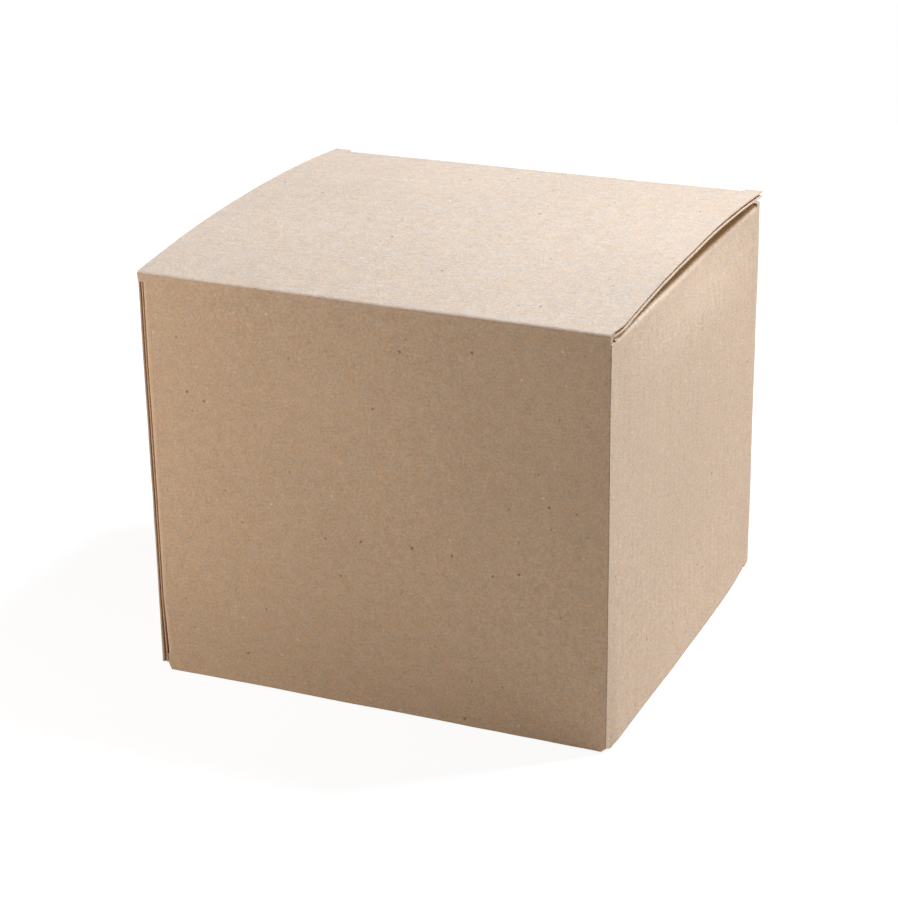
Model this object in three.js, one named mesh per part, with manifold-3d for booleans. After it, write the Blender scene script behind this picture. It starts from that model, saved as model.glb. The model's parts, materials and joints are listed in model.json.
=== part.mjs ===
// Corrugated kraft mug box: one die-cut blank folded into four walls, closed by a tuck-in lid
// above and by an interlocking snap-lock base below.
// Millimetres, +Z up. The front wall faces -Y. The origin is the centre of the footprint.

import * as THREE from 'three';
import { mergeVertices } from 'three/addons/utils/BufferGeometryUtils.js';
import Module from 'manifold-3d';

// Box, over the outer faces of the walls
const width = 120;
const depth = 113;
const height = 106;

// Board: a fluted paper between two liners
const board = 1.5;
const liner = 0.22;
const fluting = 0.18;
const flutePitch = 3.4;
const plyGap = 0.05;

// Gaps at the creases, and between boards that lie on each other
const creaseGap = 0.1;
const layerGap = 0.3;

// Glued seam at the front left corner
const glueThickness = 0.2;
const glueMargin = 3;
const glueFlapLength = 18;
const glueFlapTaper = 6;
const glueEndGap = 1;
const seamSetback = 0.6;

// Lid with its corner ears, and the tuck flap on its back edge
const lidSideGap = 0.3;
const lidBow = 2;
const earWidth = 4.5;
const earReach = 1.8;
const tuckClearance = 0.5;
const tuckLength = 18;
const tuckLean = 10;
const tuckTaper = 1.5;
const tuckRadius = 8;
const slitGap = 0.8;

// Dust flaps under the lid; the taper is the set-back per length along their front edge
const dustLength = 42;
const dustFrontGap = 2.5;
const dustTaper = 0.55;
const dustClearance = 1;
const dustRadius = 5;

// Snap-lock base
const baseSideGap = 2.5;
const baseEndGap = 2;
const baseRadius = 4;
const frontFlapTaper = 5;
const tongueLength = 20;
const tongueLean = 15;
const tongueTaper = 4;
const tongueGap = 2;
const sideFlapLength = 33.5;
const backFlapLength = 48;
const backFlapWeb = 24;
const notchGap = 1.5;
const notchTipGap = 2.5;

// How finely curves are cut into flat faces, and how far a slab overhangs its outline
const bowSteps = 6;
const arcSteps = 4;
const trimMargin = 2;

// Fold angles
const square = Math.PI / 2;
const halfTurn = Math.PI;
const tuckFold = square + THREE.MathUtils.degToRad(tuckLean);
const tongueFold = THREE.MathUtils.degToRad(tongueLean);

// Places that follow from the driving sizes
const layer = board + layerGap;
const seamOffset = board + glueThickness + 2 * plyGap;
const wallTop = height - layer;
const lidLength = depth - board - tuckClearance;
const lidHalf = width / 2 - lidSideGap;
const earInner = lidHalf - earWidth;
const tuckHalf = earInner - slitGap;
const tuckReach = tuckLength * Math.sin(tuckFold - square) + board / Math.cos(tuckFold - square);
const dustFront = board + dustFrontGap;
const dustBack = lidLength - tuckReach - dustClearance;
const glueFlapEnd = 2 * layer + glueEndGap;
const baseEnd = board + baseEndGap;
const tongueHalf = width / 2 - sideFlapLength - tongueGap;
const tongueRun = tongueLength * Math.cos(tongueFold) + board * Math.sin(tongueFold);
const frontFlapLength = depth - backFlapWeb - notchTipGap - tongueRun;
const notchHalf = tongueHalf + notchGap;
const backFlapSideGap = 2 * board;

const wasm = await Module();
wasm.setup();

// Papers
const outerPaper = new THREE.MeshStandardMaterial({ color: 0xc6a37c, roughness: 0.92, metalness: 0 });
const flutedPaper = new THREE.MeshStandardMaterial({ color: 0x9c7a52, roughness: 0.96, metalness: 0 });
const innerPaper = new THREE.MeshStandardMaterial({ color: 0xcbaa84, roughness: 0.94, metalness: 0 });
const driedGlue = new THREE.MeshStandardMaterial({ color: 0xe6dfcf, roughness: 0.55, metalness: 0 });

// Closed solid from a geometry, ready to be cut.
function solidOf(geometry) {
  geometry.deleteAttribute('normal');
  geometry.deleteAttribute('uv');
  const merged = mergeVertices(geometry);
  const vertProperties = new Float32Array(merged.attributes.position.array);
  const triVerts = new Uint32Array(merged.index.array);
  return new wasm.Manifold(new wasm.Mesh({ numProp: 3, vertProperties, triVerts }));
}

// Geometry of a cut solid.
function geometryOf(solid) {
  const { vertProperties, triVerts } = solid.getMesh();
  const geometry = new THREE.BufferGeometry();
  geometry.setAttribute('position', new THREE.BufferAttribute(vertProperties, 3));
  geometry.setIndex(new THREE.BufferAttribute(triVerts, 1));
  geometry.computeVertexNormals();
  return geometry;
}

// Closed outline through [u, v] corners. A third value rounds that corner.
function outline(corners) {
  const shape = new THREE.Shape();
  corners.forEach(([u, v, radius = 0], i) => {
    const corner = new THREE.Vector2(u, v);
    const toward = ([pu, pv]) => new THREE.Vector2(pu, pv).sub(corner).setLength(radius).add(corner);
    const start = toward(corners.at(i - 1));
    const end = toward(corners[(i + 1) % corners.length]);
    if (i === 0) shape.moveTo(start.x, start.y);
    else shape.lineTo(start.x, start.y);
    if (radius > 0) shape.quadraticCurveTo(u, v, end.x, end.y);
  });
  return shape;
}

// Section of a flat paper between two depths below the panel's outer face.
function linerSection(low, high) {
  return (left, right) => outline([[left, low], [right, low], [right, high], [left, high]]);
}

// Section of the wavy paper: a zigzag strip, one rise and one fall per flute.
function flutingSection(low, high) {
  return (left, right) => {
    const half = flutePitch / 2;
    const first = Math.floor(left / half);
    const last = Math.ceil(right / half);
    const under = [];
    const over = [];
    for (let i = first; i <= last; i += 1) {
      const lift = i % 2 === 0 ? 0 : high - low - fluting;
      under.push([i * half, low + lift]);
      over.unshift([i * half, low + lift + fluting]);
    }
    return outline([...under, ...over]);
  };
}

// The three papers of the board, from the outer face inward.
const plies = [
  { name: 'outer_liner', high: 0, low: -liner, section: linerSection, material: outerPaper },
  {
    name: 'fluting', high: -liner - plyGap, low: liner + plyGap - board,
    section: flutingSection, material: flutedPaper,
  },
  { name: 'inner_liner', high: liner - board, low: -board, section: linerSection, material: innerPaper },
];

// One paper of a panel: a slab running along v, lifted by the bow, cut to the panel's outline.
function plyGeometry(shape, sectionBetween, bow) {
  const { min, max } = new THREE.Box2().setFromPoints(shape.getPoints(arcSteps));
  const slab = new THREE.ExtrudeGeometry(sectionBetween(min.x - trimMargin, max.x + trimMargin), {
    depth: max.y - min.y + 2 * trimMargin,
    steps: bow ? bowSteps : 1,
    bevelEnabled: false,
  });
  slab.rotateX(square);
  slab.translate(0, max.y + trimMargin, 0);
  if (bow) {
    const place = slab.attributes.position;
    for (let i = 0; i < place.count; i += 1) place.setZ(i, place.getZ(i) + bow(place.getY(i)));
  }
  const cutter = new THREE.ExtrudeGeometry(shape, {
    depth: board + lidBow + 2 * trimMargin,
    curveSegments: arcSteps,
    bevelEnabled: false,
  });
  cutter.translate(0, 0, -board - trimMargin);
  return geometryOf(solidOf(slab).intersect(solidOf(cutter)));
}

// A panel of board. Its u runs along its crease, its v away from it, its w out of the box.
// cornersAt gives the outline for one paper; mitre is how far that paper stops short of a fold.
function addBoard(panel, name, cornersAt, bow) {
  for (const ply of plies) {
    const mitre = (fold) => -ply.low * Math.tan(fold / 2) + creaseGap;
    const shape = outline(cornersAt(mitre));
    const mesh = new THREE.Mesh(plyGeometry(shape, ply.section(ply.low, ply.high), bow), ply.material);
    mesh.name = `${name}_${ply.name}`;
    panel.add(mesh);
  }
}

// A panel folded back from the edge of the wall before it.
function foldSideways(parent, u, angle) {
  const panel = new THREE.Group();
  panel.position.set(u, 0, 0);
  panel.rotation.y = angle;
  parent.add(panel);
  return panel;
}

// A flap folded inward at the top of a panel.
function foldOver(parent, u, v, angle) {
  const panel = new THREE.Group();
  panel.position.set(u, v, 0);
  panel.rotation.x = -angle;
  parent.add(panel);
  return panel;
}

// A flap folded inward at the bottom of a wall, seen upside down from that wall.
function foldUnder(parent, u, v, angle) {
  const panel = new THREE.Group();
  panel.position.set(u, v, 0);
  panel.rotation.set(-angle, 0, halfTurn, 'ZYX');
  parent.add(panel);
  return panel;
}

function rectangle(left, right, bottom, top) {
  return [[left, bottom], [right, bottom], [right, top], [left, top]];
}

function addFrontWall(panel) {
  addBoard(panel, 'front_wall', (mitre) => {
    const m = mitre(square);
    return rectangle(seamOffset - width / 2 + m, width / 2 - m, m, height - m);
  });
}

function addRightWall(panel) {
  addBoard(panel, 'right_wall', (mitre) => {
    const m = mitre(square);
    return rectangle(m, depth - m, layer + m, wallTop - m);
  });
}

function addBackWall(panel) {
  addBoard(panel, 'back_wall', (mitre) => {
    const m = mitre(square);
    return rectangle(m, width - m, 2 * layer + m, wallTop);
  });
}

function addLeftWall(panel) {
  addBoard(panel, 'left_wall', (mitre) => {
    const m = mitre(square);
    return rectangle(m, depth - seamSetback, layer + m, wallTop - m);
  });
}

// The flap that is glued inside the left wall, with slanting ends.
function addGlueFlap(panel) {
  addBoard(panel, 'glue_flap', (mitre) => [
    [-mitre(square), glueFlapEnd],
    [-mitre(square), height - glueFlapEnd],
    [-glueFlapLength, height - glueFlapEnd - glueFlapTaper],
    [-glueFlapLength, glueFlapEnd + glueFlapTaper],
  ]);
}

// The line of glue between that flap and the left wall.
function addSeamGlue(panel) {
  const strip = outline(rectangle(
    glueMargin - glueFlapLength,
    -board - glueMargin,
    glueFlapEnd + glueFlapTaper,
    height - glueFlapEnd - glueFlapTaper,
  ));
  const geometry = new THREE.ExtrudeGeometry(strip, { depth: glueThickness, bevelEnabled: false });
  geometry.translate(0, 0, plyGap);
  const mesh = new THREE.Mesh(geometry, driedGlue);
  mesh.name = 'seam_glue';
  panel.add(mesh);
}

// The lid springs up in the middle between its two creases.
function lidLift(v) {
  const s = THREE.MathUtils.clamp(v / lidLength, 0, 1);
  return 4 * lidBow * s * (1 - s);
}

function addLid(panel) {
  addBoard(panel, 'lid', (mitre) => {
    const front = mitre(square);
    const back = lidLength - mitre(tuckFold);
    const earEnd = lidLength + earReach;
    return [
      [-lidHalf, front], [lidHalf, front], [lidHalf, earEnd], [earInner, earEnd], [earInner, back],
      [-earInner, back], [-earInner, earEnd], [-lidHalf, earEnd],
    ];
  }, lidLift);
}

function addTuckFlap(panel) {
  addBoard(panel, 'tuck_flap', (mitre) => [
    [-tuckHalf, mitre(tuckFold)],
    [tuckHalf, mitre(tuckFold)],
    [tuckHalf - tuckTaper, tuckLength, tuckRadius],
    [tuckTaper - tuckHalf, tuckLength, tuckRadius],
  ]);
}

// along turns a distance behind the front wall into the panel's u.
function addDustFlap(panel, name, along) {
  addBoard(panel, name, (mitre) => [
    [along(dustFront), mitre(square)],
    [along(dustBack), mitre(square)],
    [along(dustBack), dustLength, dustRadius],
    [along(dustFront + dustTaper * dustLength), dustLength, dustRadius],
  ]);
}

function addBaseFrontFlap(panel) {
  const half = width / 2 - baseSideGap;
  addBoard(panel, 'base_front_flap', (mitre) => {
    const end = frontFlapLength - mitre(tongueFold);
    return [
      [-half, mitre(square)],
      [half, mitre(square)],
      [half - frontFlapTaper, end, baseRadius],
      [frontFlapTaper - half, end, baseRadius],
    ];
  });
}

function addLockTongue(panel) {
  addBoard(panel, 'base_lock_tongue', (mitre) => [
    [-tongueHalf, mitre(tongueFold)],
    [tongueHalf, mitre(tongueFold)],
    [tongueHalf - tongueTaper, tongueLength, baseRadius],
    [tongueTaper - tongueHalf, tongueLength, baseRadius],
  ]);
}

// The front edge slants at 45 degrees, so that the flap swings clear of the front flap.
function addBaseSideFlap(panel, name, along) {
  addBoard(panel, name, (mitre) => [
    [along(baseEnd + mitre(square)), mitre(square)],
    [along(depth - baseEnd), mitre(square)],
    [along(depth - baseEnd), sideFlapLength, baseRadius],
    [along(baseEnd + sideFlapLength), sideFlapLength, baseRadius],
  ]);
}

// Its sides slant one in two, so that the side flaps swing down clear of it.
function addBaseBackFlap(panel) {
  const half = width / 2 - backFlapSideGap;
  const endHalf = (width - backFlapLength) / 2;
  addBoard(panel, 'base_back_flap', (mitre) => [
    [-half, mitre(square)],
    [half, mitre(square)],
    [half, 2 * backFlapSideGap],
    [endHalf, backFlapLength],
    [notchHalf, backFlapLength],
    [notchHalf, backFlapWeb, baseRadius],
    [-notchHalf, backFlapWeb, baseRadius],
    [-notchHalf, backFlapLength],
    [-endHalf, backFlapLength],
    [-half, 2 * backFlapSideGap],
  ]);
}

// Fold the blank up, from the front wall outward.
function foldBox() {
  const box = new THREE.Group();
  box.name = 'mug_box';

  const front = new THREE.Group();
  front.position.set(0, -depth / 2, 0);
  front.rotation.x = square;
  box.add(front);
  addFrontWall(front);

  const right = foldSideways(front, width / 2, square);
  addRightWall(right);
  const back = foldSideways(right, depth, square);
  addBackWall(back);
  const left = foldSideways(back, width, square);
  addLeftWall(left);
  const glueFlap = foldSideways(front, seamOffset - width / 2, -square);
  addGlueFlap(glueFlap);
  addSeamGlue(glueFlap);

  const lid = foldOver(front, 0, height, square);
  addLid(lid);
  addTuckFlap(foldOver(lid, 0, lidLength, tuckFold));
  addDustFlap(foldOver(right, 0, wallTop, square), 'right_dust_flap', (y) => y);
  addDustFlap(foldOver(left, 0, wallTop, square), 'left_dust_flap', (y) => depth - y);

  const frontFlap = foldUnder(front, 0, 0, square);
  addBaseFrontFlap(frontFlap);
  addLockTongue(foldOver(frontFlap, 0, frontFlapLength, tongueFold));
  addBaseSideFlap(foldUnder(right, depth, layer, square), 'base_right_flap', (y) => depth - y);
  addBaseSideFlap(foldUnder(left, 0, layer, square), 'base_left_flap', (y) => y - depth);
  addBaseBackFlap(foldUnder(back, width / 2, 2 * layer, square));
  return box;
}

export default foldBox();
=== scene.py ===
"""The looks of a plain kraft mug box: panels of corrugated board in three papers, and rounded folds."""
import json
import math

import bmesh
import bpy
import numpy as np
from mathutils import Matrix, Vector, noise
from mathutils.geometry import delaunay_2d_cdt


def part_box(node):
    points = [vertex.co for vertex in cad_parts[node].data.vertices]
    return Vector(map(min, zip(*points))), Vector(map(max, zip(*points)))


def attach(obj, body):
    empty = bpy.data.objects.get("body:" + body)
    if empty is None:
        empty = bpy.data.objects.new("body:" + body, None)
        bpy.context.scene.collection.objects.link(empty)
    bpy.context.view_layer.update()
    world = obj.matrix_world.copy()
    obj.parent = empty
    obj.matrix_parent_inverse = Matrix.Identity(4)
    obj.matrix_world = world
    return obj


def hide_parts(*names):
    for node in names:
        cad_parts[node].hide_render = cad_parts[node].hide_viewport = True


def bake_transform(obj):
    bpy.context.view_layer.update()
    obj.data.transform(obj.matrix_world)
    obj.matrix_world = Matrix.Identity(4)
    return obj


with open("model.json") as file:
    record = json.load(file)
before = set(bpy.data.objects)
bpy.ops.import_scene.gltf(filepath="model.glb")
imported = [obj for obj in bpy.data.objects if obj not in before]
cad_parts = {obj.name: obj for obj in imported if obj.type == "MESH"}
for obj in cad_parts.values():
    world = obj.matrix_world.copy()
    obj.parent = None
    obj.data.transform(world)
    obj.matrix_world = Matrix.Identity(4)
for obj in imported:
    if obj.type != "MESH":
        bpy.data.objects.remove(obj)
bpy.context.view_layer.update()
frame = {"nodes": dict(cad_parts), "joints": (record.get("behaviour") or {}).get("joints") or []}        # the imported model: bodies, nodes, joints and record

# Lengths are in millimetres until a mesh, light or camera is made
MM = 0.001
RIGHT, BACKWARD, UP = np.eye(3)
JOINT_AT = {joint["name"]: np.array(joint["pos_m"]) / MM for joint in frame["joints"]}


def node_box(node):
    """The lowest and highest corner of a solid of the frame."""
    low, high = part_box(node)
    return np.array(low) / MM, np.array(high) / MM


# Sizes of the carton, from the frame
HALF = node_box("right_wall_outer_liner")[1][0]
WIDTH = 2 * HALF
FRONT = node_box("front_wall_outer_liner")[0][1]
BACK = node_box("back_wall_outer_liner")[1][1]
DEPTH = BACK - FRONT
HEIGHT = JOINT_AT["lid_hinge"][2]
BOARD = node_box("front_wall_inner_liner")[1][1] - FRONT
WALL_TOP = JOINT_AT["right_dust_fold"][2]
SIDE_BOTTOM = JOINT_AT["base_right_fold"][2]
BACK_BOTTOM = JOINT_AT["base_back_fold"][2]
LID_LENGTH = JOINT_AT["tuck_fold"][1] - FRONT
LID_HALF = node_box("lid_outer_liner")[1][0]
LID_BOW = node_box("lid_outer_liner")[1][2] - HEIGHT
TUCK_HALF = node_box("tuck_flap_outer_liner")[1][0]
DUST_FRONT = node_box("right_dust_flap_outer_liner")[0][1] - FRONT
DUST_BACK = node_box("right_dust_flap_outer_liner")[1][1] - FRONT
DUST_LENGTH = HALF - node_box("right_dust_flap_outer_liner")[0][0]
SEAM = node_box("glue_flap_outer_liner")[0][0]
SEAM_SETBACK = node_box("left_wall_outer_liner")[0][1] - FRONT
GLUE_FLAP_LENGTH = node_box("glue_flap_outer_liner")[1][1] - FRONT
GLUE_FLAP_LOW = node_box("glue_flap_outer_liner")[0][2]
GLUE_FLAP_HIGH = node_box("glue_flap_outer_liner")[1][2]
BASE_HALF = node_box("base_front_flap_outer_liner")[1][0]
BASE_FRONT_LENGTH = JOINT_AT["base_tongue_fold"][1] - FRONT
TONGUE_HALF = node_box("base_lock_tongue_outer_liner")[1][0]
BASE_SIDE_FRONT = node_box("base_right_flap_outer_liner")[0][1] - FRONT
BASE_SIDE_BACK = node_box("base_right_flap_outer_liner")[1][1] - FRONT
BASE_SIDE_LENGTH = HALF - node_box("base_right_flap_outer_liner")[0][0]
BASE_BACK_HALF = node_box("base_back_flap_outer_liner")[1][0]
BASE_BACK_LENGTH = BACK - node_box("base_back_flap_outer_liner")[0][1]

# Angles and small shapes of the flaps, the same as in the solids
TUCK_LEAN = math.radians(10)
TUCK_LENGTH = (HEIGHT - node_box("tuck_flap_outer_liner")[0][2]) / math.cos(TUCK_LEAN)
TONGUE_LEAN = math.radians(15)
TONGUE_REACH = node_box("base_lock_tongue_outer_liner")[1][1] - JOINT_AT["base_tongue_fold"][1]
TONGUE_LENGTH = TONGUE_REACH / math.cos(TONGUE_LEAN)
EAR_WIDTH = 4.5
GLUE_FLAP_TAPER = 6
TUCK_TAPER = 1.5
TUCK_RADIUS = 8
DUST_TAPER = 0.55
DUST_RADIUS = 5
BASE_RADIUS = 4
BASE_FRONT_TAPER = 5
TONGUE_TAPER = 4
NOTCH_GAP = 1.5
BACK_FLAP_WEB = 24

# The board's papers and folds
FLUTE_PITCH = 3.4
LINER = 0.34
FLUTE_PAPER = 0.22
PLY_GAP = 0.02
FLUTE_SETBACK = 0.8
WASHBOARD = 0.03
FOLD_REACH = 2.4
CUT_GAP = 0.25
LID_FOLD = 1.1
FRONT_FOLD = 0.35
SEAM_FOLD = 1.7
DUST_FOLD = 1.4
FIRM_FOLD = 0.8
INNER_FOLD = 0.6
CLIP_WIDTH = 0.8
CLIP_HEIGHT = 1.8
FRONT_TIP_GAP = 1.2
CORNER_BOTTOM = 1.2
BASE_FOLD_LEFT = SEAM + CUT_GAP + CLIP_WIDTH

# How the real board departs from the solids: side walls that swell and sag along their lower folds and are
# drawn in under the lid, a left side that leans out, a seam pressed flat, ears rubbed short, a sprung lid,
# and slow waves
BULGE = 0.9
BULGE_FADE = 22
BULGE_START = 6
BULGE_END = 30
BULGE_TAPER = 0.4
BULGE_REACH = 12
SAG = 1.9
SAG_FADE = 8
SAG_START = 4.5
SAG_END = 14
SAG_REACH = 2.5
DENT = 1.8
DENT_HEIGHT = 20
DENT_PEAK = 27 / 4       # brings the curve of the sunken top to 1 where it is deepest
LEFT_LEAN = 0.7
LEFT_LEAN_LOW = -0.3
LEFT_LEAN_REACH = 30
SEAM_SQUEEZE = 0.4
SEAM_SQUEEZE_DEPTH = 3
SEAM_SQUEEZE_START = 3
SEAM_SQUEEZE_END = 22
EAR_REACH = 1
LID_BOW_MORE = 0.8
LID_TWIST = 1.4
LID_OVERHANG = 1.0
LID_OVERHANG_START = 8
LID_OVERHANG_LEFT = 1.0
WAVE_LENGTHS = (30, 7)
WAVE_HEIGHTS = (0.2, 0.05)
WAVE_SEED = 7

# Fineness of the meshes
RIM_STEP = 1.7
ROW_STEP = 4
FLUTE_STEPS = 6
FLUTE_ROW = 9
ARC_STEPS = 8
FOLD_STEP = 2
MERGE_GAP = 0.001
INSIDE_OUTLINE = 1
SHARP_ANGLE = math.radians(40)

# The slow waves are the same each time
noise.seed_set(WAVE_SEED)


def smooth(t):
    """A soft step from 0 to 1 while t goes from 0 to 1."""
    t = np.clip(t, 0, 1)
    return t * t * (3 - 2 * t)


def unit(vector):
    return np.asarray(vector, float) / np.linalg.norm(vector)


def sides(x, reach):
    """1 at the side walls' outer faces, falling to 0 within this reach of them."""
    return smooth((np.abs(x) - HALF + reach) / reach)


def warp_sides(x, along, z):
    """How far the side walls' swelling, sunken top, lean and seam move points across, and how far down."""
    share = along / DEPTH
    swelling = BULGE * np.exp(-z / BULGE_FADE) * (1 - BULGE_TAPER * share)
    swelling *= smooth(along / BULGE_START) * smooth((DEPTH - along) / BULGE_END)
    dent = DENT * DENT_PEAK * share**2 * (1 - share) * smooth((z - WALL_TOP) / DENT_HEIGHT + 1)
    across = np.sign(x) * sides(x, BULGE_REACH) * (swelling - dent)
    lean = LEFT_LEAN * (LEFT_LEAN_LOW + (1 - LEFT_LEAN_LOW) * z / HEIGHT)
    across -= lean * (x < 0) * sides(x, LEFT_LEAN_REACH)
    pressed = SEAM_SQUEEZE * (1 - smooth(along / SEAM_SQUEEZE_DEPTH)) * (x < 0) * sides(x, BULGE_REACH)
    pressed *= smooth((z - SEAM_SQUEEZE_START) / (SEAM_SQUEEZE_END - SEAM_SQUEEZE_START))
    across -= pressed * (x + HALF)
    sag = SAG * np.exp(-z / SAG_FADE) * sides(x, SAG_REACH)
    sag *= smooth(along / SAG_START) * smooth((DEPTH - along) / SAG_END)
    return across, sag + dent * sides(x, BULGE_REACH)


def spring_lid(x, along):
    """How far the lid's bow and twist lift points, and how far its right edge stands out."""
    share = np.clip(along / LID_LENGTH, 0, 1)
    across = np.clip(x / WIDTH + 0.5, 0, 1)
    lift = 4 * share * (1 - share) * (LID_BOW + LID_BOW_MORE) + LID_TWIST * across * share**2
    return lift, LID_OVERHANG * smooth(along / LID_OVERHANG_START) * smooth(2 * across - 1)


def settle(points, sprung):
    """Where points of the ideal carton lie on the real one. A sprung panel belongs to the lid."""
    x, y, z = np.array(points).T
    moved = np.array(points)
    across, sag = warp_sides(x, y - FRONT, z)
    if sprung:
        lift, overhang = spring_lid(x, y - FRONT)
        above = smooth((z - HEIGHT) / FOLD_REACH + 1)
        lean = (LEFT_LEAN + (LID_OVERHANG_LEFT - LEFT_LEAN) * above) * (x < 0) * sides(x, LEFT_LEAN_REACH)
        moved += np.outer(overhang - lean, RIGHT) + np.outer(lift, UP)
    else:
        moved += np.outer(across, RIGHT) - np.outer(sag, UP)
    for length, height in zip(WAVE_LENGTHS, WAVE_HEIGHTS):
        moved += height * np.array([noise.noise_vector(Vector(point) / length) for point in points])
    moved[:, 2] = np.maximum(moved[:, 2], 0)
    return moved


class Panel:
    """A panel of board on a body: u runs along its crease, v away from it and w out of its outer face.

    A lengthwise panel is one whose crease runs from front to back.
    """

    def __init__(self, name, body, origin, u, v, sprung=False):
        self.name = name
        self.body = body
        self.origin = np.array(origin, float)
        self.u = np.array(u, float)
        self.v = np.array(v, float)
        self.w = np.cross(self.u, self.v)
        self.sprung = sprung
        self.lengthwise = bool(abs(self.u[1]) > 0.5)

    def ideal(self, flat, w):
        return self.origin + flat[:, :1] * self.u + flat[:, 1:] * self.v + np.reshape(w, (-1, 1)) * self.w

    def at(self, flat, w):
        return settle(self.ideal(flat, w), self.sprung)


def rim(corners):
    """The outline through (u, v) or (u, v, radius) corners, in steps no longer than the rim's step."""
    turns = []
    for index, corner in enumerate(corners):
        here = np.array(corner[:2], float)
        if len(corner) == 2:
            turns.append(here)
            continue
        start = here + corner[2] * unit(np.array(corners[index - 1][:2]) - here)
        end = here + corner[2] * unit(np.array(corners[(index + 1) % len(corners)][:2]) - here)
        for t in np.linspace(0, 1, ARC_STEPS + 1):
            turns.append((1 - t) ** 2 * start + 2 * t * (1 - t) * here + t**2 * end)
    path = []
    for start, end in zip(turns, turns[1:] + turns[:1]):
        count = max(1, math.ceil(np.linalg.norm(end - start) / RIM_STEP))
        path += [start + (end - start) * step / count for step in range(count)]
    return np.array(path)


def spans(path, columns):
    """The lowest and highest v of the outline on each line of constant u."""
    ends = []
    following = np.roll(path, -1, axis=0)
    for u in columns:
        crossed = (path[:, 0] > u) != (following[:, 0] > u)
        here, there = path[crossed], following[crossed]
        v = here[:, 1] + (there[:, 1] - here[:, 1]) * (u - here[:, 0]) / (there[:, 0] - here[:, 0])
        ends.append((v.min(), v.max()))
    return np.array(ends)


def closed(top, bottom, faces):
    """A closed sheet's points and faces: these faces on its top and, turned over, on its bottom."""
    count = len(top)
    edges = {(a, b) for face in faces for a, b in zip(face, face[1:] + face[:1])}
    border = [[a, a + count, b + count, b] for a, b in edges if (b, a) not in edges]
    under = [[index + count for index in reversed(face)] for face in faces]
    return np.vstack([top, bottom]), faces + under + sorted(border)


def liner(panel, corners, high, low, ripple):
    """One flat paper of a panel, which shows the flutes beside it as a faint washboard."""
    path = rim(corners)
    pitch = FLUTE_PITCH / 4
    u = np.arange(math.ceil(path[:, 0].min() / pitch), path[:, 0].max() / pitch) * pitch
    v = np.arange(path[:, 1].min() + ROW_STEP / 2, path[:, 1].max(), ROW_STEP)
    ends = spans(path, u)
    grid = np.array([(a, b) for a, (low_end, high_end) in zip(u, ends) for b in v if low_end < b < high_end])
    gaps = np.linalg.norm(grid[:, None] - path[None], axis=2).min(axis=1)
    points = np.vstack([path, grid[gaps > RIM_STEP / 2]])
    outline = [list(range(len(path)))]
    spots = [Vector(point) for point in points]
    found = delaunay_2d_cdt(spots, [], outline, INSIDE_OUTLINE, MERGE_GAP)
    flat = np.array(found[0])
    inside = np.minimum(flat - path.min(axis=0), path.max(axis=0) - flat).min(axis=1)
    wave = ripple * smooth(inside / FLUTE_PITCH) * (1 - np.cos(2 * math.pi * flat[:, 0] / FLUTE_PITCH)) / 2
    return closed(panel.at(flat, high + wave), panel.at(flat, low + wave), [list(face) for face in found[2]])


def flutes(panel, corners, setback):
    """The wavy middle paper of a panel, which ends this far inside the edges that run along its flutes."""
    path = rim(corners)
    first, last = path[:, 0].min() + setback, path[:, 0].max() - setback
    columns = np.linspace(first, last, math.ceil((last - first) / FLUTE_PITCH * FLUTE_STEPS) + 1)
    ends = spans(path, columns)
    rows = max(2, math.ceil((ends[:, 1] - ends[:, 0]).max() / FLUTE_ROW) + 1)
    share = np.linspace(0, 1, rows)
    v = ends[:, :1] + (ends[:, 1:] - ends[:, :1]) * share
    flat = np.stack([np.repeat(columns, rows), v.ravel()], axis=1)
    swing = (BOARD - FLUTE_PAPER) / 2 - LINER - PLY_GAP
    middle = swing * np.cos(2 * math.pi * flat[:, 0] / FLUTE_PITCH) - BOARD / 2
    faces = []
    for start in range(0, (len(columns) - 1) * rows, rows):
        faces += [[a, a + rows, a + rows + 1, a + 1] for a in range(start, start + rows - 1)]
    return closed(panel.at(flat, middle + FLUTE_PAPER / 2), panel.at(flat, middle - FLUTE_PAPER / 2), faces)


def piece(name, points, faces, materials, finish=None):
    """A mesh object of these faces, each with the material that finish gives."""
    mesh = bpy.data.meshes.new(name)
    mesh.from_pydata((points * MM).tolist(), [], faces)
    for material in materials:
        mesh.materials.append(material)
    if finish:
        mesh.polygons.foreach_set("material_index", finish)
    shell = bmesh.new()
    shell.from_mesh(mesh)
    bmesh.ops.recalc_face_normals(shell, faces=shell.faces)
    shell.to_mesh(mesh)
    shell.free()
    mesh.shade_smooth()
    mesh.set_sharp_from_angle(angle=SHARP_ANGLE)
    made = bpy.data.objects.new(name, mesh)
    bpy.context.scene.collection.objects.link(made)
    return made


def board(panel, corners, setback=PLY_GAP):
    """The three papers of a panel, each in the place of its solid."""
    plies = {
        "outer_liner": liner(panel, corners, 0, -LINER, -WASHBOARD),
        "fluting": flutes(panel, corners, setback),
        "inner_liner": liner(panel, corners, LINER - BOARD, -BOARD, WASHBOARD),
    }
    for ply, (points, faces) in plies.items():
        made = piece(f"{panel.name}_{ply}_paper", points, faces, [PAPERS[ply][panel.lengthwise]])
        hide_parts(f"{panel.name}_{ply}")
        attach(made, panel.body)


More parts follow.
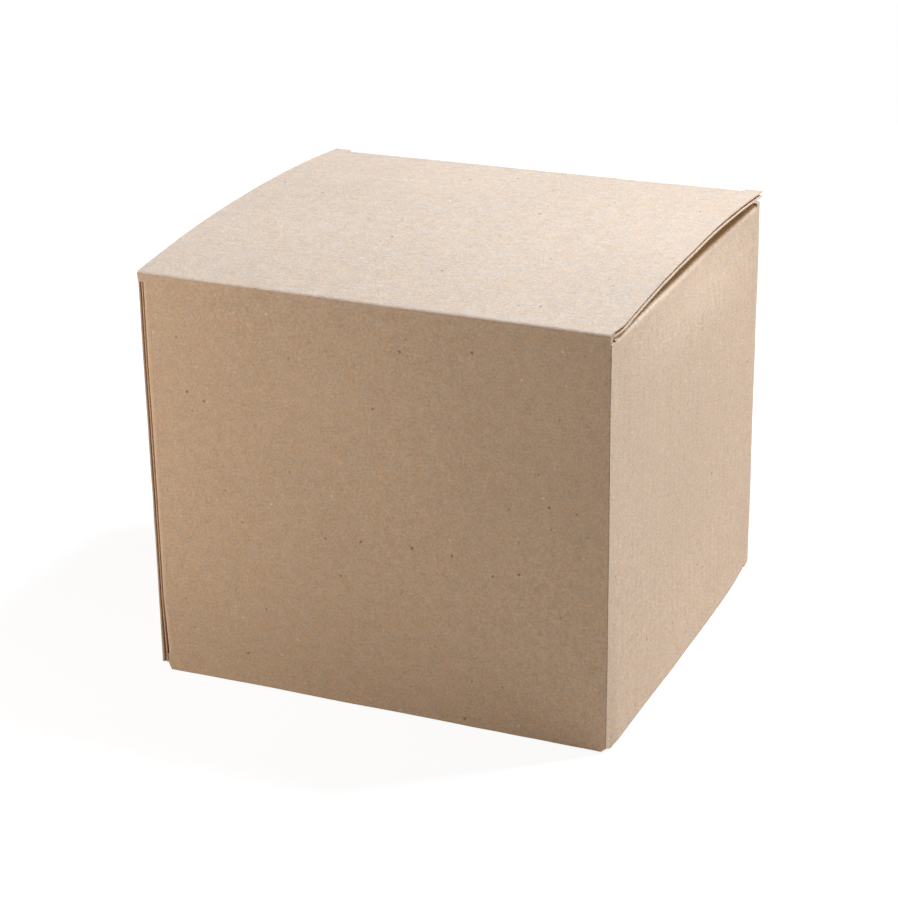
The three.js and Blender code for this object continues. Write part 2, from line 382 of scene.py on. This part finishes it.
def fold_section(a, into_a, b, into_b, radius):
    """The cross-section of a fold from panel a to panel b: its outer curve, then its inner one back."""
    inner_corner = -BOARD * (a.w + b.w) / (1 + a.w @ b.w)
    outer = [into_a * FOLD_REACH]
    inner = [into_b * FOLD_REACH - b.w * BOARD]
    for t in np.linspace(0, 1, ARC_STEPS + 1):
        outer.append(radius * ((1 - t) ** 2 * into_a + t**2 * into_b))
        inner.append(inner_corner + INNER_FOLD * ((1 - t) ** 2 * into_b + t**2 * into_a))
    outer.append(into_b * FOLD_REACH)
    inner.append(into_a * FOLD_REACH - a.w * BOARD)
    return np.array(outer), np.array(inner)


def fold(name, a, into_a, b, into_b, start, end, radius=FIRM_FOLD, start_on_b=None):
    """A rounded fold between panels a and b, along the line where their outer faces would meet.

    Where panel b is cut shorter than panel a, its side of the fold starts at start_on_b.
    """
    outer, inner = fold_section(a, into_a, b, into_b, radius)
    section = np.vstack([outer, inner])
    size = len(section)
    count = math.ceil(np.linalg.norm(np.subtract(end, start)) / FOLD_STEP) + 1
    line = np.linspace(start, end, count)
    towards_b = np.hstack([np.linspace(0, 1, len(outer)), np.linspace(1, 0, len(inner))])
    skew = np.zeros(3) if start_on_b is None else np.subtract(start_on_b, start)
    slant = np.linspace(1, 0, count)[:, None, None] * towards_b[None, :, None] * skew
    points = settle((line[:, None] + section[None] + slant).reshape(-1, 3), a.sprung or b.sprung)
    plies = ["outer_liner", "inner_liner", "fluting"]
    outside, inside, cut = range(len(plies))
    faces = [list(range(size)), list(range(len(points) - size, len(points)))]
    finish = [cut, cut]
    for ring in range(0, len(points) - size, size):
        for index in range(size):
            following = (index + 1) % size
            faces.append([ring + index, ring + following, ring + size + following, ring + size + index])
            if index in (len(outer) - 1, size - 1):
                finish.append(cut)
            else:
                finish.append(inside if index >= len(outer) else outside)
    papers = [PAPERS[ply][b.lengthwise] for ply in plies]
    made = piece(f"{name}_fold", points, faces, papers, finish)
    # The outer curve of the fold is marked for lightening: partly rubbed wear, partly painted light against
    # the shade on its arc
    wear_and_painted_light = made.data.attributes.new("wear_and_painted_light", "FLOAT", "POINT")
    bend = (1 - np.abs(2 * towards_b - 1)) * (np.arange(size) < len(outer))
    wear_and_painted_light.data.foreach_set("value", np.tile(bend, count).astype(np.float32))
    if a.body == b.body:
        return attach(made, a.body)
    middle = (np.array(start, float) + np.array(end, float)) / 2
    ends = settle([middle + into * FOLD_REACH for into in (into_a, into_b)], a.sprung or b.sprung) * MM
    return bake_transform(made)


# Linear colours
KRAFT = (0.607, 0.466, 0.341)
KRAFT_INSIDE = (0.600, 0.460, 0.335)
KRAFT_FLUTES = (0.500, 0.370, 0.260)
LIGHT_SPECK = (0.82, 0.72, 0.58)
GLUE = (0.72, 0.66, 0.54)
WARM_TINT = (1.025, 0.958, 0.875)

# The marks on the paper, with sizes in millimetres: how much lighter and darker the sheet gets, and how
# much each kind of mark adds to that
KRAFT_SPREAD = 0.21
INSIDE_SPREAD = 0.26
FLUTES_SPREAD = 0.2
TONE_START = -1.15
BLOTCH_SIZE = 3
BLOTCH_WEIGHT = 0.7
GRAIN_SIZE = 0.6
GRAIN_WEIGHT = 1.8
FIBRE_SIZE = 0.5
FIBRE_WEIGHT = 0.5
FIBRE_DRAW = 0.35
CLOUD_SIZE = 40
CLOUD_WEIGHT = 0.3
WARM_SIZE = 1.2
WARM_LEVELS = (0.4, 0.65)

# Hairs run along contours of a noise, where another noise is high
HAIR_SIZE = 2.2
HAIR_WIDTH = 0.02
HAIR_STRENGTH = 0.4
HAIR_SHADE = 0.45
HAIR_PATCH_SIZE = 3.1
HAIR_PATCH_LEVELS = (0.6, 0.66)

# Specks of each kind have an offset, a spacing and a radius
DARK_SPECKS = ((31, 17, 5), 5.0, 0.5)
DARK_STRENGTH = 0.65
DARK_SHADE = 0.22
LIGHT_SPECKS = ((3, 71, 43), 3.8, 0.45)
LIGHT_STRENGTH = 0.6
SPECK_SCATTER = 31
SPECK_LEVELS = (0.45, 0.85)
SPECK_CORE = 0.5

# Folds made lighter, partly as rubbed wear and partly as painted light that cancels the shade on their arcs,
# and the surface of the paper
FOLD_WEAR_AND_PAINTED_LIGHT = 0.9
WEAR_AND_PAINTED_LIGHT_LEAST = 0.1
WEAR_AND_PAINTED_LIGHT_SHADE = 1.25
PAPER_ROUGHNESS = (0.82, 0.95)
PAPER_GLOSS = 0.2
RELIEF_FIBRES = 0.6
RELIEF_GRAIN = 0.4
RELIEF_STRENGTH = 0.8
RELIEF_DEPTH = 0.16
MIDDLE_LEVELS = (0.3, 0.7)

# The dried glue
GLUE_CLOUD_SIZE = 3
GLUE_DRAG_SIZE = 0.8
GLUE_DRAG_DRAW = 0.05
GLUE_SHADES = (0.85, 1.1)
GLUE_ROUGHNESS = (0.35, 0.55)
GLUE_RELIEF_STRENGTH = 0.4
GLUE_RELIEF_DEPTH = 0.1


class Graph:
    """The node tree of a new material, with short ways to add to it."""

    def __init__(self, name):
        self.material = bpy.data.materials.new(name)
        self.material.use_nodes = True
        self.nodes = self.material.node_tree.nodes
        self.links = self.material.node_tree.links
        self.shader = self.nodes["Principled BSDF"]

    def feed(self, socket, value):
        """Links an output to a socket, or sets the socket to a plain value."""
        if isinstance(value, bpy.types.NodeSocket):
            self.links.new(value, socket)
        else:
            socket.default_value = value

    def add(self, kind, output, inputs, **settings):
        """One of the outputs of a new node with these inputs and settings."""
        node = self.nodes.new(kind)
        for name, value in settings.items():
            setattr(node, name, value)
        for key, value in inputs.items():
            self.feed(node.inputs[key], value)
        return node.outputs[output]

    def math(self, operation, *values):
        return self.add("ShaderNodeMath", 0, dict(enumerate(values)), operation=operation)

    def mix(self, amount, first, second, blend="MIX"):
        """A blend of two colours, which are inputs 6 and 7 of the node."""
        inputs = {0: amount, 6: first, 7: second}
        return self.add("ShaderNodeMix", 2, inputs, data_type="RGBA", blend_type=blend)

    def ramp(self, value, low, high, at_low=0.0, at_high=1.0):
        """A soft step of value from at_low to at_high between low and high."""
        inputs = dict(enumerate((value, low, high, at_low, at_high)))
        return self.add("ShaderNodeMapRange", 0, inputs, interpolation_type="SMOOTHSTEP")

    def place(self, scale, offset=(0, 0, 0)):
        """The place on the object in millimetres, drawn out or shifted."""
        spot = self.add("ShaderNodeTexCoord", "Object", {})
        scale = tuple(np.divide(scale, MM))
        return self.add("ShaderNodeMapping", 0, {"Vector": spot, "Scale": scale, "Location": offset})

    def noise(self, place, size, detail=2.0, roughness=0.5):
        """Clouds of about this size in millimetres."""
        inputs = {"Vector": place, "Scale": 1 / size, "Detail": detail, "Roughness": roughness}
        return self.add("ShaderNodeTexNoise", 0, inputs)

    def specks(self, offset, spacing, radius):
        """Specks of varied strength and up to this radius, in cells of this spacing, all in millimetres."""
        spot = self.place((1, 1, 1), offset)
        wobble = self.noise(spot, radius).node.outputs["Color"]
        shift = (radius, radius, radius)
        spot = self.add("ShaderNodeVectorMath", 0, {0: wobble, 1: shift, 2: spot}, operation="MULTIPLY_ADD")
        distance = self.add("ShaderNodeTexVoronoi", "Distance", {"Vector": spot, "Scale": 1 / spacing})
        scatter = self.math("MULTIPLY", distance.node.outputs["Color"], SPECK_SCATTER)
        strength = self.ramp(self.math("FRACT", scatter), *SPECK_LEVELS)
        edge = radius / spacing
        return self.math("MULTIPLY", strength, self.ramp(distance, SPECK_CORE * edge, edge, 1.0, 0.0))

    def hairs(self, place):
        """Thin curved hairs, here and there."""
        contour = self.math("ABSOLUTE", self.math("SUBTRACT", self.noise(place, HAIR_SIZE, 1), 0.5))
        thin = self.ramp(contour, 0.0, HAIR_WIDTH, HAIR_STRENGTH, 0.0)
        sparse = self.ramp(self.noise(place, HAIR_PATCH_SIZE, 1), *HAIR_PATCH_LEVELS)
        return self.math("MULTIPLY", thin, sparse)

    def relief(self, height, strength, depth):
        """Roughens the surface by up to this depth in millimetres."""
        bump = {"Strength": strength, "Distance": depth * MM, "Height": height}
        self.feed(self.shader.inputs["Normal"], self.add("ShaderNodeBump", 0, bump))


def shade(colour, factor):
    """A linear colour, made lighter or darker, as a socket takes it."""
    return (*(channel * factor for channel in colour), 1)


def paper(name, colour, spread, lengthwise):
    """Matte kraft paper: blotches, fibres drawn out along its run, hairs, and dark and light specks."""
    graph = Graph(name)
    even = graph.place((1, 1, 1))
    run = graph.place((1, FIBRE_DRAW, 1) if lengthwise else (FIBRE_DRAW, 1, 1))
    blotches = graph.noise(even, BLOTCH_SIZE, 4, 0.65)
    grain = graph.noise(even, GRAIN_SIZE, 3, 0.7)
    fibres = graph.noise(run, FIBRE_SIZE, 3, 0.6)
    tone = graph.math("MULTIPLY_ADD", blotches, BLOTCH_WEIGHT, TONE_START)
    tone = graph.math("MULTIPLY_ADD", grain, GRAIN_WEIGHT, tone)
    tone = graph.math("MULTIPLY_ADD", fibres, FIBRE_WEIGHT, tone)
    tone = graph.math("MULTIPLY_ADD", graph.noise(even, CLOUD_SIZE), CLOUD_WEIGHT, tone)
    base = graph.mix(tone, shade(colour, 1 - spread), shade(colour, 1 + spread))
    warmth = graph.ramp(graph.noise(run, WARM_SIZE, 3), *WARM_LEVELS)
    base = graph.mix(warmth, base, shade(WARM_TINT, 1), "MULTIPLY")
    base = graph.mix(graph.hairs(even), base, shade(colour, HAIR_SHADE))
    dark = graph.math("MULTIPLY", graph.specks(*DARK_SPECKS), DARK_STRENGTH)
    base = graph.mix(dark, base, shade(colour, DARK_SHADE))
    light = graph.math("MULTIPLY", graph.specks(*LIGHT_SPECKS), LIGHT_STRENGTH)
    base = graph.mix(light, base, shade(LIGHT_SPECK, 1))
    # Folds made lighter: partly rubbed wear, partly painted light that cancels the shade on their arcs
    wear_and_painted_light = graph.add("ShaderNodeAttribute", "Fac", {}, attribute_name="wear_and_painted_light")
    scuff_and_painted_light = graph.math("MULTIPLY", wear_and_painted_light, graph.ramp(fibres, *MIDDLE_LEVELS, WEAR_AND_PAINTED_LIGHT_LEAST, FOLD_WEAR_AND_PAINTED_LIGHT))
    base = graph.mix(scuff_and_painted_light, base, shade(colour, WEAR_AND_PAINTED_LIGHT_SHADE))
    graph.feed(graph.shader.inputs["Base Color"], base)
    graph.feed(graph.shader.inputs["Roughness"], graph.ramp(blotches, *MIDDLE_LEVELS, *PAPER_ROUGHNESS))
    graph.feed(graph.shader.inputs["Specular IOR Level"], PAPER_GLOSS)
    height = graph.math("MULTIPLY_ADD", fibres, RELIEF_FIBRES, graph.math("MULTIPLY", grain, RELIEF_GRAIN))
    graph.relief(height, RELIEF_STRENGTH, RELIEF_DEPTH)
    return graph.material


def both_ways(name, colour, spread):
    """The same paper with its fibres from side to side, and from front to back."""
    return [paper(f"{name}_{way}", colour, spread, bool(way)) for way in (0, 1)]


def dried_glue():
    """Pale glue, cloudy and a little shiny, with the drag marks of its roller."""
    graph = Graph("dried_glue")
    cloud = graph.noise(graph.place((1, 1, 1)), GLUE_CLOUD_SIZE, 4)
    drag = graph.noise(graph.place((1, 1, GLUE_DRAG_DRAW)), GLUE_DRAG_SIZE, 2)
    tone = graph.math("MULTIPLY", graph.math("ADD", cloud, drag), 0.5)
    darkest, lightest = (shade(GLUE, factor) for factor in GLUE_SHADES)
    graph.feed(graph.shader.inputs["Base Color"], graph.mix(tone, darkest, lightest))
    graph.feed(graph.shader.inputs["Roughness"], graph.ramp(cloud, *MIDDLE_LEVELS, *GLUE_ROUGHNESS))
    graph.relief(drag, GLUE_RELIEF_STRENGTH, GLUE_RELIEF_DEPTH)
    return graph.material


PAPERS = {
    "outer_liner": both_ways("outer_kraft", KRAFT, KRAFT_SPREAD),
    "fluting": both_ways("fluting_kraft", KRAFT_FLUTES, FLUTES_SPREAD),
    "inner_liner": both_ways("inner_kraft", KRAFT_INSIDE, INSIDE_SPREAD),
}

# The panels, each from the line where it folds off its neighbour
front_wall = Panel("front_wall", "walls", (0, FRONT, 0), RIGHT, UP)
right_wall = Panel("right_wall", "walls", (HALF, FRONT, 0), BACKWARD, UP)
back_wall = Panel("back_wall", "walls", (HALF, BACK, 0), -RIGHT, UP)
left_wall = Panel("left_wall", "walls", (-HALF, BACK, 0), -BACKWARD, UP)
glue_flap = Panel("glue_flap", "walls", (SEAM, FRONT, 0), -BACKWARD, UP)
lid = Panel("lid", "lid", (0, FRONT, HEIGHT), RIGHT, BACKWARD, sprung=True)
tuck_down = -math.sin(TUCK_LEAN) * BACKWARD - math.cos(TUCK_LEAN) * UP
tuck_flap = Panel("tuck_flap", "tuck_flap", JOINT_AT["tuck_fold"], RIGHT, tuck_down, sprung=True)
right_dust = Panel("right_dust_flap", "right_dust_flap", (HALF, FRONT, WALL_TOP), BACKWARD, -RIGHT)
left_dust = Panel("left_dust_flap", "left_dust_flap", (-HALF, BACK, WALL_TOP), -BACKWARD, RIGHT)
base_front = Panel("base_front_flap", "base_front_flap", (0, FRONT, 0), -RIGHT, BACKWARD)
tongue_up = math.cos(TONGUE_LEAN) * BACKWARD + math.sin(TONGUE_LEAN) * UP
base_tongue = Panel("base_lock_tongue", "base_lock_tongue", JOINT_AT["base_tongue_fold"], -RIGHT, tongue_up)
base_right = Panel("base_right_flap", "base_right_flap", (HALF, BACK, SIDE_BOTTOM), -BACKWARD, -RIGHT)
base_left = Panel("base_left_flap", "base_left_flap", (-HALF, BACK, SIDE_BOTTOM), BACKWARD, RIGHT)
base_back = Panel("base_back_flap", "base_back_flap", (0, BACK, BACK_BOTTOM), RIGHT, -BACKWARD)


def make_front_wall():
    """Its lower corners stand free of the folds, and the left one is clipped."""
    left, right, top = SEAM + FOLD_REACH, HALF - FOLD_REACH, HEIGHT - FOLD_REACH
    edge, tip = SEAM + CUT_GAP, HALF - FRONT_TIP_GAP
    board(front_wall, [
        (edge, CUT_GAP + CLIP_HEIGHT), (BASE_FOLD_LEFT, CUT_GAP), (BASE_FOLD_LEFT, FOLD_REACH),
        (BASE_HALF, FOLD_REACH), (BASE_HALF, CUT_GAP), (tip, CUT_GAP), (HALF - CUT_GAP, CORNER_BOTTOM),
        (right, CORNER_BOTTOM), (right, top), (left, top), (left, GLUE_FLAP_LOW), (edge, GLUE_FLAP_LOW),
    ])


def make_side_wall(panel, along, front, bottom, top):
    """From its front edge to the fold at the back. along turns a distance behind the front into u."""
    low, high, back = SIDE_BOTTOM + FOLD_REACH, WALL_TOP - FOLD_REACH, DEPTH - FOLD_REACH
    outline = [
        (front, bottom), (BASE_SIDE_FRONT, SIDE_BOTTOM + CUT_GAP), (BASE_SIDE_FRONT, low),
        (BASE_SIDE_BACK, low), (BASE_SIDE_BACK, SIDE_BOTTOM), (back, SIDE_BOTTOM), (back, high),
        (DUST_FRONT, high), (DUST_FRONT, top), (front, top),
    ]
    board(panel, [(along(distance), height) for distance, height in outline])


def make_back_wall():
    low = BACK_BOTTOM + FOLD_REACH
    start, end = HALF - BASE_BACK_HALF, HALF + BASE_BACK_HALF
    board(back_wall, [
        (FOLD_REACH, BACK_BOTTOM), (start, BACK_BOTTOM), (start, low), (end, low), (end, BACK_BOTTOM),
        (WIDTH - FOLD_REACH, BACK_BOTTOM), (WIDTH - FOLD_REACH, WALL_TOP), (FOLD_REACH, WALL_TOP),
    ])


def make_glue_flap():
    board(glue_flap, [
        (-FOLD_REACH, GLUE_FLAP_LOW), (-FOLD_REACH, GLUE_FLAP_HIGH),
        (-GLUE_FLAP_LENGTH, GLUE_FLAP_HIGH - GLUE_FLAP_TAPER),
        (-GLUE_FLAP_LENGTH, GLUE_FLAP_LOW + GLUE_FLAP_TAPER),
    ])


def make_lid():
    """The lid ends in two small ears beside the tuck flap's fold."""
    back, ear_end, ear = LID_LENGTH - FOLD_REACH, LID_LENGTH + EAR_REACH, LID_HALF - EAR_WIDTH
    board(lid, [
        (-LID_HALF, FOLD_REACH), (LID_HALF, FOLD_REACH), (LID_HALF, ear_end), (ear, ear_end),
        (ear, back), (-ear, back), (-ear, ear_end), (-LID_HALF, ear_end),
    ], FLUTE_SETBACK)


def make_tuck_flap():
    end = TUCK_HALF - TUCK_TAPER
    board(tuck_flap, [
        (-TUCK_HALF, FOLD_REACH), (TUCK_HALF, FOLD_REACH),
        (end, TUCK_LENGTH, TUCK_RADIUS), (-end, TUCK_LENGTH, TUCK_RADIUS),
    ])


def make_dust_flap(panel, along):
    board(panel, [
        (along(DUST_FRONT + DUST_TAPER * FOLD_REACH), FOLD_REACH), (along(DUST_BACK), FOLD_REACH),
        (along(DUST_BACK), DUST_LENGTH, DUST_RADIUS),
        (along(DUST_FRONT + DUST_TAPER * DUST_LENGTH), DUST_LENGTH, DUST_RADIUS),
    ])


def make_base_front_flap():
    end, back = BASE_HALF - BASE_FRONT_TAPER, BASE_FRONT_LENGTH - FOLD_REACH
    board(base_front, [
        (-BASE_HALF, FOLD_REACH), (BASE_HALF, FOLD_REACH), (end, BASE_FRONT_LENGTH, BASE_RADIUS),
        (TONGUE_HALF, BASE_FRONT_LENGTH), (TONGUE_HALF, back), (-TONGUE_HALF, back),
        (-TONGUE_HALF, BASE_FRONT_LENGTH), (-end, BASE_FRONT_LENGTH, BASE_RADIUS),
    ])


def make_base_tongue():
    end = TONGUE_HALF - TONGUE_TAPER
    board(base_tongue, [
        (-TONGUE_HALF, FOLD_REACH), (TONGUE_HALF, FOLD_REACH),
        (end, TONGUE_LENGTH, BASE_RADIUS), (-end, TONGUE_LENGTH, BASE_RADIUS),
    ])


def make_base_side_flap(panel, along):
    board(panel, [
        (along(BASE_SIDE_FRONT + FOLD_REACH), FOLD_REACH), (along(BASE_SIDE_BACK), FOLD_REACH),
        (along(BASE_SIDE_BACK), BASE_SIDE_LENGTH, BASE_RADIUS),
        (along(BASE_SIDE_FRONT + BASE_SIDE_LENGTH), BASE_SIDE_LENGTH, BASE_RADIUS),
    ])


def make_base_back_flap():
    """Two arms beside a notch that takes the lock tongue."""
    slant_start = 2 * (HALF - BASE_BACK_HALF)
    end = (WIDTH - BASE_BACK_LENGTH) / 2
    notch = TONGUE_HALF + NOTCH_GAP
    board(base_back, [
        (-BASE_BACK_HALF, FOLD_REACH), (BASE_BACK_HALF, FOLD_REACH), (BASE_BACK_HALF, slant_start),
        (end, BASE_BACK_LENGTH), (notch, BASE_BACK_LENGTH), (notch, BACK_FLAP_WEB, BASE_RADIUS),
        (-notch, BACK_FLAP_WEB, BASE_RADIUS), (-notch, BASE_BACK_LENGTH), (-end, BASE_BACK_LENGTH),
        (-BASE_BACK_HALF, slant_start),
    ])


def make_wall_folds():
    """The four upright folds, of which the one at the front left turns the glue flap in."""
    top = HEIGHT - FOLD_REACH
    fold("front_right", front_wall, -RIGHT, right_wall, BACKWARD,
         (HALF, FRONT, CORNER_BOTTOM), (HALF, FRONT, top), FRONT_FOLD)
    fold("right_back", right_wall, -BACKWARD, back_wall, -RIGHT,
         (HALF, BACK, SIDE_BOTTOM), (HALF, BACK, WALL_TOP), start_on_b=(HALF, BACK, BACK_BOTTOM))
    fold("left_back", left_wall, -BACKWARD, back_wall, RIGHT,
         (-HALF, BACK, SIDE_BOTTOM), (-HALF, BACK, WALL_TOP), start_on_b=(-HALF, BACK, BACK_BOTTOM))
    fold("seam", front_wall, RIGHT, glue_flap, BACKWARD,
         (SEAM, FRONT, GLUE_FLAP_LOW), (SEAM, FRONT, top), SEAM_FOLD)


def make_top_folds():
    lid_end = FRONT + LID_LENGTH
    tuck_end = LID_HALF - EAR_WIDTH - CUT_GAP
    fold("lid", front_wall, -UP, lid, BACKWARD,
         (-LID_HALF, FRONT, HEIGHT), (LID_HALF, FRONT, HEIGHT), LID_FOLD)
    fold("tuck", lid, -BACKWARD, tuck_flap, tuck_flap.v,
         (-tuck_end, lid_end, HEIGHT), (tuck_end, lid_end, HEIGHT), LID_FOLD)
    for side, wall, flap in ((HALF, right_wall, right_dust), (-HALF, left_wall, left_dust)):
        fold(flap.name, wall, -UP, flap, flap.v,
             (side, FRONT + DUST_FRONT, WALL_TOP), (side, BACK - FOLD_REACH, WALL_TOP), DUST_FOLD)


def make_base_folds():
    tongue_start = FRONT + BASE_FRONT_LENGTH
    fold("base_front_flap", front_wall, UP, base_front, BACKWARD,
         (BASE_FOLD_LEFT, FRONT, 0), (BASE_HALF, FRONT, 0))
    fold("base_lock_tongue", base_front, -BACKWARD, base_tongue, base_tongue.v,
         (-TONGUE_HALF, tongue_start, 0), (TONGUE_HALF, tongue_start, 0))
    for side, wall, flap in ((HALF, right_wall, base_right), (-HALF, left_wall, base_left)):
        fold(flap.name, wall, UP, flap, flap.v,
             (side, FRONT + BASE_SIDE_FRONT, SIDE_BOTTOM), (side, FRONT + BASE_SIDE_BACK, SIDE_BOTTOM))
    fold("base_back_flap", back_wall, UP, base_back, -BACKWARD,
         (-BASE_BACK_HALF, BACK, BACK_BOTTOM), (BASE_BACK_HALF, BACK, BACK_BOTTOM))


# The camera, in millimetres and degrees, and the floor and surroundings
PICTURE_SIDE = 898
FOCAL_PIXELS = 2726
SENSOR = 36
CAMERA_TURN = 23.298
CAMERA_RISE = 22.583
CAMERA_ROLL = -0.645
CAMERA_DISTANCE = 702.13
CAMERA_TARGET = (-4.162, 0, 46.864)
FLOOR_SIZE = 1000
FLOOR_DROP = 0.2
FLOOR_BOUNCE = (0.38, 0.33, 0.275, 1)
FLOOR_SEEN = (0.2, 0.2, 0.2, 1)
FLOOR_GLOW = 0.9
FLOOR_ROUGHNESS = 0.9
WHITE = (1, 1, 1, 1)
AMBIENT = 0.12


def make_camera():
    turn, rise, roll = (math.radians(angle) for angle in (CAMERA_TURN, CAMERA_RISE, CAMERA_ROLL))
    back = np.array([math.sin(turn) * math.cos(rise), -math.cos(turn) * math.cos(rise), math.sin(rise)])
    level = np.array([math.cos(turn), math.sin(turn), 0])
    upward = np.cross(back, level)
    across = math.cos(roll) * level + math.sin(roll) * upward
    upright = math.cos(roll) * upward - math.sin(roll) * level
    data = bpy.data.cameras.new("camera")
    data.sensor_width = SENSOR
    data.lens = SENSOR * FOCAL_PIXELS / PICTURE_SIDE
    camera = bpy.data.objects.new("camera", data)
    place = np.array(CAMERA_TARGET) + CAMERA_DISTANCE * back
    axes = Matrix(np.array([across, upright, back]).T).to_4x4()
    camera.matrix_world = Matrix.Translation(place * MM) @ axes
    bpy.context.scene.collection.objects.link(camera)
    bpy.context.scene.camera = camera


def make_lamp(name, place, size, power, colour):
    """A square soft lamp aimed at the middle of the box, with its place and size in millimetres."""
    data = bpy.data.lights.new(name, "AREA")
    data.size = size * MM
    data.energy = power
    data.color = colour
    lamp = bpy.data.objects.new(name, data)
    lamp.visible_camera = False
    aim = Vector((0, 0, HEIGHT / 2)) - Vector(place)
    turn = aim.to_track_quat("-Z", "Y").to_matrix().to_4x4()
    lamp.matrix_world = Matrix.Translation(Vector(place) * MM) @ turn
    bpy.context.scene.collection.objects.link(lamp)


def seen(graph):
    """1 for rays that show the background to the camera, directly, mirrored or through something."""
    path = graph.nodes.new("ShaderNodeLightPath")
    mirrored = graph.math("MAXIMUM", path.outputs["Is Glossy Ray"], path.outputs["Is Transmission Ray"])
    return graph.math("MAXIMUM", path.outputs["Is Camera Ray"], mirrored)


def make_floor():
    """A plain pale floor that keeps the box's shadow and is white to the camera elsewhere."""
    graph = Graph("pale_floor")
    white = seen(graph)
    graph.feed(graph.shader.inputs["Base Color"], graph.mix(white, FLOOR_BOUNCE, FLOOR_SEEN))
    graph.feed(graph.shader.inputs["Roughness"], FLOOR_ROUGHNESS)
    graph.feed(graph.shader.inputs["Specular IOR Level"], 0)
    graph.feed(graph.shader.inputs["Emission Color"], WHITE)
    graph.feed(graph.shader.inputs["Emission Strength"], graph.math("MULTIPLY", white, FLOOR_GLOW))
    side = FLOOR_SIZE / 2
    corners = np.array([(-side, -side, 0), (side, -side, 0), (side, side, 0), (-side, side, 0)])
    piece("floor", corners - FLOOR_DROP * UP, [[0, 1, 2, 3]], [graph.material])


def make_world():
    """White to the camera, and a faint light from all around on the box."""
    world = bpy.data.worlds.new("studio")
    bpy.context.scene.world = world
    world.use_nodes = True
    nodes, links = world.node_tree.nodes, world.node_tree.links
    background = nodes["Background"]
    background.inputs["Color"].default_value = WHITE
    path = nodes.new("ShaderNodeLightPath")
    level = nodes.new("ShaderNodeMapRange")
    links.new(path.outputs["Is Camera Ray"], level.inputs["Value"])
    level.inputs["To Min"].default_value = AMBIENT
    links.new(level.outputs[0], background.inputs["Strength"])


make_front_wall()
make_side_wall(right_wall, lambda y: y, FOLD_REACH, CORNER_BOTTOM, WALL_TOP)
make_back_wall()
make_side_wall(left_wall, lambda y: DEPTH - y, SEAM_SETBACK, SIDE_BOTTOM, HEIGHT - FOLD_REACH - CUT_GAP)
make_glue_flap()
make_lid()
make_tuck_flap()
make_dust_flap(right_dust, lambda y: y)
make_dust_flap(left_dust, lambda y: DEPTH - y)
make_base_front_flap()
make_base_tongue()
make_base_side_flap(base_right, lambda y: DEPTH - y)
make_base_side_flap(base_left, lambda y: y - DEPTH)
make_base_back_flap()
make_wall_folds()
make_top_folds()
make_base_folds()
frame["nodes"]["seam_glue"].data.materials.clear()
frame["nodes"]["seam_glue"].data.materials.append(dried_glue())

make_camera()
make_floor()
make_world()
make_lamp("key_lamp", place=(420, 330, 850), size=200, power=16.9, colour=(0.67, 0.79, 0.99))
make_lamp("side_lamp", place=(600, 600, 350), size=300, power=2.6, colour=(1.0, 0.73, 0.36))
make_lamp("fill_lamp", place=(-240, -270, 110), size=150, power=0.64, colour=(1.0, 0.88, 0.775))
bpy.context.scene.view_settings.view_transform = "Standard"
